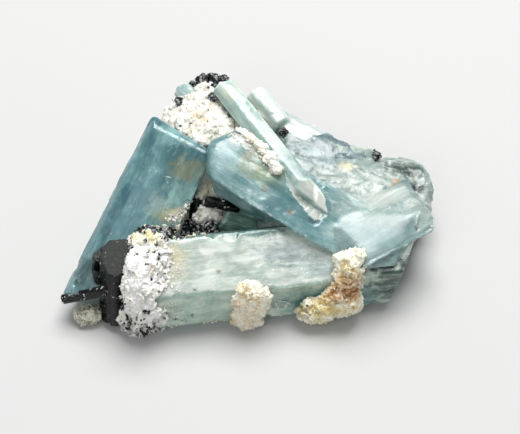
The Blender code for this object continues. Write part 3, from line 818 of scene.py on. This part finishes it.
def shards(name, spots, size, look, seed):
    """Small angular grains seated on the spots, as one piece."""
    rng = np.random.default_rng(seed)
    heap = bmesh.new()
    for spot in spots:
        corners = rng.normal(0, 1, (9, 3))
        corners /= np.linalg.norm(corners, axis=1, keepdims=True)
        corners *= rng.uniform(*size) * rng.uniform(0.55, 1.0, 3)
        made = [heap.verts.new(Vector(spot + corner) / 1000) for corner in corners]
        hull = bmesh.ops.convex_hull(heap, input=made)
        bmesh.ops.delete(heap, geom=hull["geom_interior"] + hull["geom_unused"], context="VERTS")
    for corner in heap.verts:
        corner.co.z = max(corner.co.z, 0.0)
    mesh = bpy.data.meshes.new(name)
    heap.to_mesh(mesh)
    heap.free()
    mesh.materials.append(look)
    made = bpy.data.objects.new(name, mesh)
    bpy.context.scene.collection.objects.link(made)
    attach(made, "root")


matrix = Surface("feldspar_matrix", 0.2)
granulate(matrix, coarse=0.62, share=0.8)
matrix_look = feldspar(
    "white_feldspar", body=tone(236, 234, 225), shade=tone(218, 211, 194),
    marks=(
        ((-7.9, 8.9, 15.2), (1.3, 0.8, 0.9), tone(214, 190, 140), 0.8, 1.2),
        ((-6.6, 8.0, 15.4), (1.0, 0.6, 0.8), tone(206, 176, 120), 0.6, 1.4),
        ((-11.2, 9.6, 13.8), (1.6, 1.4, 1.4), tone(226, 220, 196), 0.6, 1.4),
        # A near-white patch in the pocket, brightened where little light reaches: painted light.
        ((-6.0, -0.3, 9.2), (2.0, 1.4, 1.6), tone(246, 238, 206), 1.0, 0.4),
    ),
)
matrix.piece("white_matrix", [matrix_look], "feldspar", "feldspar_matrix", crisp=32)
CROWN = [(-9.5, 9.0, 14.5), (-4.5, 9.5, 15.3), (-5.5, 13.5, 14.5)]
crown_spots = matrix.pick(CROWN, reach=3.4, count=170, seed=31, least=0.3)
shards("white_sugar", crown_spots, (0.12, 0.34), matrix_look, 32)


# The left feldspar: white sugary grains round the left end of the front crystal, yellowish
# where they meet the left crystal, with black specks of tourmaline.
left_rock = Surface("feldspar_left", 0.15)
granulate(left_rock, coarse=0.85)
left_rock_look = feldspar(
    "speckled_feldspar", body=tone(250, 249, 245), shade=tone(232, 227, 214),
    marks=(
        ((-14.2, -10.0, 10.8), (2.6, 1.8, 1.8), tone(220, 210, 146), 0.8, 1.4),
        ((-12.0, -8.7, 9.6), (2.8, 1.4, 1.4), tone(216, 208, 160), 0.8, 1.4),
        ((-16.2, -17.8, 1.6), (3.4, 2.0, 1.6), tone(128, 124, 112), 0.8, 1.6),
    ),
    specks=0.2,
)
left_rock.piece("left_feldspar", [left_rock_look], "feldspar", "feldspar_left", crisp=32)
LUMP = [(-15.0, -11.0, 10.5), (-14.6, -14.5, 10.5), (-14.4, -17.5, 6.0), (-15.5, -18.2, 2.0)]
lump_spots = left_rock.pick(LUMP, reach=2.4, count=150, seed=41)
shards("left_sugar", lump_spots, (0.1, 0.3), left_rock_look, 42)


# The chip: a small pale fragment of feldspar at the left foot, stuck under the black rod,
# greenish grey in patches and with painted greenish grey shade between its grains.
chip = Surface("feldspar_chip", 0.11)
granulate(chip, coarse=1.2)
chip_look = feldspar(
    "chip_feldspar", body=tone(206, 204, 186), shade=tone(140, 142, 124), specks=0.2,
)
chip.piece("pale_chip", [chip_look], "feldspar", "feldspar_chip", crisp=32)


# The crest: a thin line of white feldspar grains that grew along the left side of the blade,
# where it crosses the centre crystal.
crest = Surface("feldspar_crest", 0.1)
granulate(crest, coarse=1.6)
crest_look = feldspar(
    "crest_feldspar", body=tone(248, 246, 236), shade=tone(226, 218, 196), specks=0.03,
)
crest.piece("white_crest", [crest_look], "feldspar", "feldspar_crest", crisp=32)


# The cream crust: a rounded crust of fine feldspar grains on the front crystal, tan in
# patches and with painted tan shade between its grains, that runs down to the ground.
cream = Surface("crust_front", 0.13)
granulate(cream, coarse=1.15)
cream_look = feldspar(
    "cream_crust", body=tone(250, 244, 226), shade=tone(222, 200, 156),
    specks=0.03, painted_crevice_shade=0.5,
)
cream.piece("cream_crust", [cream_look], "stained_feldspar", "crust_front", crisp=32)
CREAM_LINE = [(-0.1, -16.8, 7.0), (-0.4, -17.4, 2.0)]
cream_spots = cream.pick(
    CREAM_LINE, reach=2.6, count=70, seed=51, facing=(0, -1, 0.4), least=0.2,
)
shards("cream_sugar", cream_spots, (0.1, 0.3), cream_look, 52)


# The rusty crust: the same kind of crust at the right, stained orange and yellow by iron. Its
# right side is drawn in to a ragged line, where it ends against the crystals.
RUSTY_RIGHT_SIDE = 14.9
rusty = Surface("crust_right", 0.14)
granulate(rusty, coarse=1.05)
past_side = rusty.points[:, 0] - RUSTY_RIGHT_SIDE + wander(rusty.points, 0.45, 4)
past_side = np.clip(past_side, 0, 9)
rusty.points[:, 0] -= past_side - 0.5 * np.tanh(past_side)
rusty_look = feldspar(
    "rusty_crust", body=tone(252, 248, 230), shade=tone(228, 212, 164),
    marks=(
        ((12.4, -16.2, 6.4), (3.2, 2.0, 2.0), tone(178, 124, 62), 1.0, 1.6),
        ((13.2, -15.8, 6.8), (1.6, 1.3, 1.3), tone(152, 88, 28), 1.0, 1.2),
        ((12.7, -16.4, 6.0), (0.8, 0.6, 0.6), tone(92, 54, 22), 0.9, 1.2),
        ((11.4, -16.6, 5.6), (0.6, 0.5, 0.4), tone(104, 66, 30), 0.8, 1.0),
        ((13.6, -15.3, 7.8), (2.6, 1.6, 1.7), tone(182, 130, 70), 0.9, 1.6),
        ((9.6, -17.0, 4.0), (3.4, 1.6, 1.4), tone(212, 186, 98), 0.9, 1.4),
        ((7.2, -16.8, 3.0), (2.2, 1.4, 1.2), tone(134, 126, 70), 0.8, 1.4),
        ((13.6, -13.6, 10.0), (1.2, 0.8, 0.8), tone(222, 196, 110), 0.7, 1.4),
    ),
    specks=0.06, painted_crevice_shade=0.6,
)
rusty.piece("rusty_crust", [rusty_look], "stained_feldspar", "crust_right", crisp=32)
RUST_LINE = [(13.0, -13.0, 10.6), (14.0, -15.0, 8.0), (12.4, -16.6, 5.0), (8.0, -17.0, 3.0)]
rusty_spots = rusty.pick(
    RUST_LINE, reach=2.4, count=120, seed=61, facing=(0, -0.8, 0.6), least=0.1,
)
shards("rusty_sugar", rusty_spots, (0.1, 0.3), rusty_look, 62)


# The black tourmaline: glossy three-sided prisms, ridged along their length, with white
# dust of feldspar in the hollows. The stub's broken top is rough and dark grey.
def schorl(name, foot, head, dusty, matt, sparkle, glints=0.0):
    """Black tourmaline, dustier for a lower number, with a matt top, facets and painted grey
    glints.
    """
    made, place = finish(name)
    ridges = lengthwise(place, foot, head, 30).mottle(2.8, 5, 0.62)
    dust = place.mottle(1.7, 5, 0.66).ramp(dusty, dusty + 0.05)
    normal = place.node("ShaderNodeNewGeometry", {}, {}, "Normal")
    upper = place.vector("DOT_PRODUCT", normal, (0, 0.1, 1), "Value").ramp(0.5, 0.85) * matt
    colour = (upper * 0.9).blend(tone(6, 6, 8), tone(50, 53, 50))
    # Painted glints: light grey cells in the colour, as if small faces caught the light.
    if glints:
        colour = (place.lottery(3.0).ramp(0.72, 0.78) * glints).blend(colour, tone(160, 164, 166))
    colour = (dust * 0.9).blend(colour, tone(220, 218, 212))
    roughness = ridges.ramp(0.35, 0.65, 0.05, 0.2) + dust * 0.5 + upper * 0.45
    height = ridges + place.mottle(3.0, 5, 0.7) * (upper * 1.6 + 0.15)
    height = height + place.facets(1.7) * sparkle
    relief = {"Strength": 0.8, "Distance": 0.00014, "Height": height}
    black = place.node("ShaderNodeBsdfPrincipled", {}, {
        "Base Color": colour, "Roughness": roughness, "IOR": 1.64, "Specular IOR Level": 0.28,
        "Normal": place.node("ShaderNodeBump", {}, relief),
    })
    place.node("ShaderNodeOutputMaterial", {}, {"Surface": black})
    return made


# Name, its solid, foot, head, dustiness (lower is dustier) and how matt its top is.
PRISMS = (
    ("black_stub", "schorl_stub", (-18.7, -15.6, 0.2), (-18.2, -12.1, 9.4), 0.64, 1.0),
    ("black_side_prism", "schorl_side", (-20.8, -13.4, 3.6), (-20.5, -10.9, 8.2), 0.64, 0.3),
    ("black_rod", "schorl_rod", (-25.8, -14.9, 3.5), (-18.6, -15.2, 6.2), 0.60, 0.0),
    ("black_bar", "schorl_bar", (-6.4, -2.0, 9.2), (-1.6, -2.5, 8.4), 0.72, 0.0),
    ("pocket_stub", "schorl_pocket_stub", (-7.9, -3.4, 6.0), (-7.7, -1.6, 8.8), 0.68, 0.0),
)
blacks = {}
for name, node, foot, head, dusty, matt in PRISMS:
    prism = Surface(node, 0.09)
    prism.rise(0.12)
    striate(prism, along_of(foot, head), deep=0.06)
    prism_edge = prism.edge_wear(0.1, 0.9, 4)
    prism.chips(prism_edge, count=18, radius=(0.3, 0.8), depth=(0.03, 0.2), seed=6)
    prism_look = schorl(name, foot, head, dusty, matt, sparkle=0.7)
    prism.piece(name, [prism_look], "schorl", node, crisp=40)
    blacks[node] = prism


# The clusters and single grains of the same tourmaline, which sparkle from many small
# faces and from grey glints painted into their colour.
sparkling = schorl(
    "sparkling_schorl", foot=(0, 0, 0), head=(0, 0.3, 1), dusty=0.64, matt=0.0,
    sparkle=1.6, glints=0.7,
)
for name, node in (
    ("top_black_cluster", "schorl_top_cluster"),
    ("seam_black_cluster", "schorl_seam_cluster"),
    ("pocket_black_cluster", "schorl_pocket_cluster"),
    ("left_black_grain", "schorl_grain_left"),
    ("top_black_grain", "schorl_grain_top"),
    ("middle_black_grain", "schorl_grain_middle"),
    ("blade_black_grain", "schorl_grain_blade"),
    ("back_black_grain", "schorl_grain_back"),
):
    grain = Surface(node, 0.08)
    grain.rise(0.06 + broken_faces(grain.points, 1.3) * 0.5)
    grain.piece(name, [sparkling], "schorl", node, crisp=28)
    blacks[node] = grain


# Loose grains: a seam of black and yellowish-white grains where the left crystal meets the
# front one, black specks and white flakes round the left feldspar, and white knobs and dust
# on the clear crystals and the tourmaline. The lines that they follow come first.
SEAM = [
    (-14.4, -8.6, 10.4), (-12.4, -8.4, 9.6), (-10.7, -9.2, 9.9), (-8.8, -7.6, 9.0),
    (-6.0, -7.4, 8.6),
]
CREST_LINE = [(-2.4, 2.4, 18.0), (-0.6, 1.3, 17.2), (1.4, 0.0, 16.4), (3.0, -1.8, 15.6)]
WHITE_END = [(-12.8, -11.6, 10.0), (-12.8, -15.0, 8.6), (-12.4, -17.0, 4.0)]
FLAKES = [(-12.2, -11.4, 9.9), (-11.9, -14.6, 8.6), (-11.8, -17.0, 5.6), (-12.2, -17.6, 2.6)]
DRIFT = [(-11.2, -11.2, 10.0), (-10.8, -15.0, 8.4), (-10.8, -17.6, 3.0)]
RIGHT_OF_LUMP = [(-13.0, -11.0, 10.2), (-12.8, -14.5, 9.4), (-12.6, -17.6, 5.0)]
BY_STUB = [(-16.9, -12.0, 9.6), (-16.8, -15.6, 7.4), (-16.4, -18.0, 2.4)]
BELOW_LUMP = [(-15.8, -18.8, 2.4), (-13.6, -18.2, 1.4)]
FRONT_SPECKS = [(-11.8, -18.0, 4.2), (-8.7, -17.9, 2.7), (-8.3, -17.6, 3.4)]
KNOBS = [(2.6, -16.2, 4.0), (4.4, -15.8, 3.6)]
FRONT_FOOT_LINE = [(-7.0, -17.4, 1.6), (-2.8, -17.0, 1.2), (6.0, -15.8, 1.2)]
LEFT_EDGE_LINE = [(-11.4, -5.9, 9.6), (-9.6, -5.2, 9.8), (-8.4, -3.6, 10.2)]
POCKET = [(-7.0, -5.0, 8.2), (-4.0, -5.0, 8.0)]
POCKET_SLOPE = [(-7.9, -3.5, 7.9), (-6.4, -4.3, 6.8), (-3.2, -5.2, 5.4)]
BAR_END = [(-6.4, -2.0, 9.2), (-4.4, -2.3, 9.0)]
ROD_END = [(-25.6, -14.9, 3.9), (-24.4, -15.0, 4.3)]
STUB_SIDE = [(-17.0, -14.6, 8.0), (-16.6, -17.0, 2.0)]
pocket_cluster, seam_cluster = blacks["schorl_pocket_cluster"], blacks["schorl_seam_cluster"]
bar, rod, stub = blacks["schorl_bar"], blacks["schorl_rod"], blacks["schorl_stub"]
cream_grain = feldspar(
    "cream_grain", body=tone(240, 234, 206), shade=tone(208, 196, 150), specks=0.0,
)
# Name, what the grains sit on, the line they follow, how far from it they lie, how many,
# their smallest and largest radius, their finish, and the seed.
GRAINS = (
    ("seam_white_left", left, SEAM, 1.9, 90, (0.14, 0.45), cream_grain, 71),
    ("seam_black_left", left, SEAM, 1.5, 90, (0.2, 0.7), sparkling, 72),
    ("seam_white_front", front, SEAM, 1.3, 60, (0.14, 0.45), cream_grain, 73),
    ("seam_black_front", front, SEAM, 1.1, 60, (0.16, 0.6), sparkling, 74),
    ("seam_black_rock", left_rock, SEAM, 1.8, 60, (0.2, 0.6), sparkling, 80),
    ("front_white_end", front, WHITE_END, 1.3, 190, (0.14, 0.5), matrix_look, 81),
    ("crest_grains", cluster, CREST_LINE, 0.7, 70, (0.12, 0.36), crest_look, 90),
    ("black_specks", left_rock, RIGHT_OF_LUMP, 0.8, 64, (0.12, 0.5), sparkling, 75),
    ("black_grains_in_lump", left_rock, LUMP, 1.9, 64, (0.2, 0.6), sparkling, 92),
    ("lump_flakes", front, FLAKES, 1.1, 90, (0.3, 0.85), left_rock_look, 93),
    ("black_specks_by_stub", left_rock, BY_STUB, 1.1, 90, (0.12, 0.55), sparkling, 88),
    ("black_specks_below", left_rock, BELOW_LUMP, 1.4, 50, (0.14, 0.5), sparkling, 89),
    ("front_black_specks", front, FRONT_SPECKS, 0.6, 16, (0.08, 0.24), sparkling, 76),
    ("front_knobs", front, KNOBS, 1.0, 26, (0.12, 0.45), matrix_look, 77),
    ("front_white_drift", front, DRIFT, 1.8, 110, (0.1, 0.36), matrix_look, 91),
    ("front_foot_grains", front, FRONT_FOOT_LINE, 0.8, 50, (0.1, 0.4), cream_grain, 78),
    ("left_white_edge", left, LEFT_EDGE_LINE, 0.7, 60, (0.12, 0.4), matrix_look, 82),
    ("pocket_white_dust", pocket_cluster, POCKET, 3.0, 70, (0.1, 0.36), matrix_look, 83),
    ("seam_white_dust", seam_cluster, SEAM, 3.0, 26, (0.1, 0.3), cream_grain, 84),
    ("bar_white_dust", bar, BAR_END, 1.4, 24, (0.1, 0.3), matrix_look, 85),
    ("rod_white_dust", rod, ROD_END, 1.0, 14, (0.1, 0.3), matrix_look, 86),
    ("stub_white_dust", stub, STUB_SIDE, 1.0, 18, (0.1, 0.34), matrix_look, 87),
    ("pocket_white_grains", matrix, POCKET_SLOPE, 1.4, 60, (0.15, 0.5), matrix_look, 79),
)
for name, surface, line, reach, count, size, look, seed in GRAINS:
    shards(name, surface.pick(line, reach, count, seed), size, look, seed)
